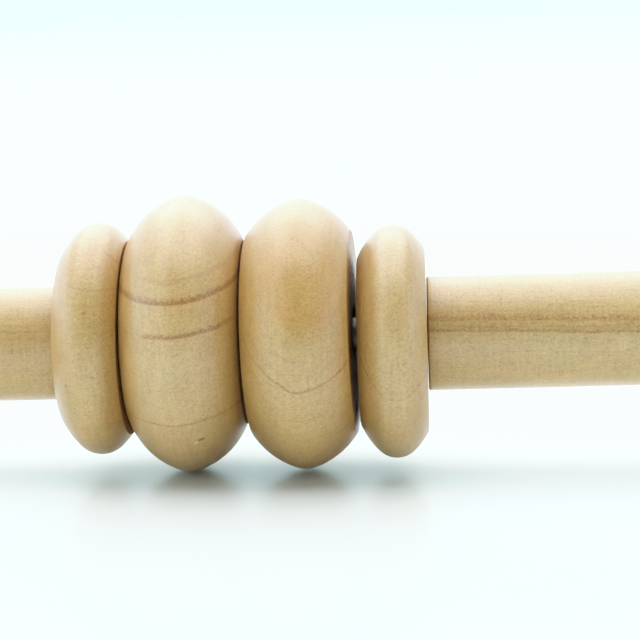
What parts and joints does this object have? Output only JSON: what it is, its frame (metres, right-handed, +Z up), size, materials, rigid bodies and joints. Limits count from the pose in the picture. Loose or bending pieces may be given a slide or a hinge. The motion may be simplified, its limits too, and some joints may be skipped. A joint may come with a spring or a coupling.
{
  "type": "wooden roller massager",
  "caption": "Hand massager with turned, lens-shaped wooden rollers that spin freely on a steel rod between straight round wooden handles.",
  "frame": {"origin": "on the surface that the two large rollers stand on, under the rod, midway between the two handles' far ends", "axes": "+X along the rod towards the right handle, +Z up from the surface, +Y away from the front"},
  "size_m": [0.361, 0.0616, 0.0617],
  "materials": {
    "roller_wood": "turned pale hardwood, sanded, thin satin lacquer",
    "handle_wood": "pale hardwood dowel, sanded, thin satin lacquer",
    "rod_steel": "drawn bright steel bar"
  },
  "bodies": {
    "frame": {"axle_rod": "rod_steel", "left_handle": "handle_wood", "right_handle": "handle_wood"},
    "left_small_roller": {"left_small_roller": "roller_wood"},
    "left_large_roller": {"left_large_roller": "roller_wood"},
    "right_large_roller": {"right_large_roller": "roller_wood"},
    "right_small_roller": {"right_small_roller": "roller_wood"}
  },
  "joints": [
    {"name": "left_small_roller_spin", "type": "hinge", "parent": "frame", "child": "left_small_roller", "pos_m": [-0.03226, 0, 0.0302], "axis": [0.9999, 0, -0.0122], "continuous": true},
    {"name": "left_large_roller_spin", "type": "hinge", "parent": "frame", "child": "left_large_roller", "pos_m": [-0.01271, 0, 0.03085], "axis": [1, 0, -0.0035], "continuous": true},
    {"name": "right_large_roller_spin", "type": "hinge", "parent": "frame", "child": "right_large_roller", "pos_m": [0.01281, 0, 0.03015], "axis": [0.9994, -0.0314, 0.014], "continuous": true},
    {"name": "right_small_roller_spin", "type": "hinge", "parent": "frame", "child": "right_small_roller", "pos_m": [0.03316, 0, 0.02795], "axis": [1, 0, 0], "continuous": true}
  ]
}
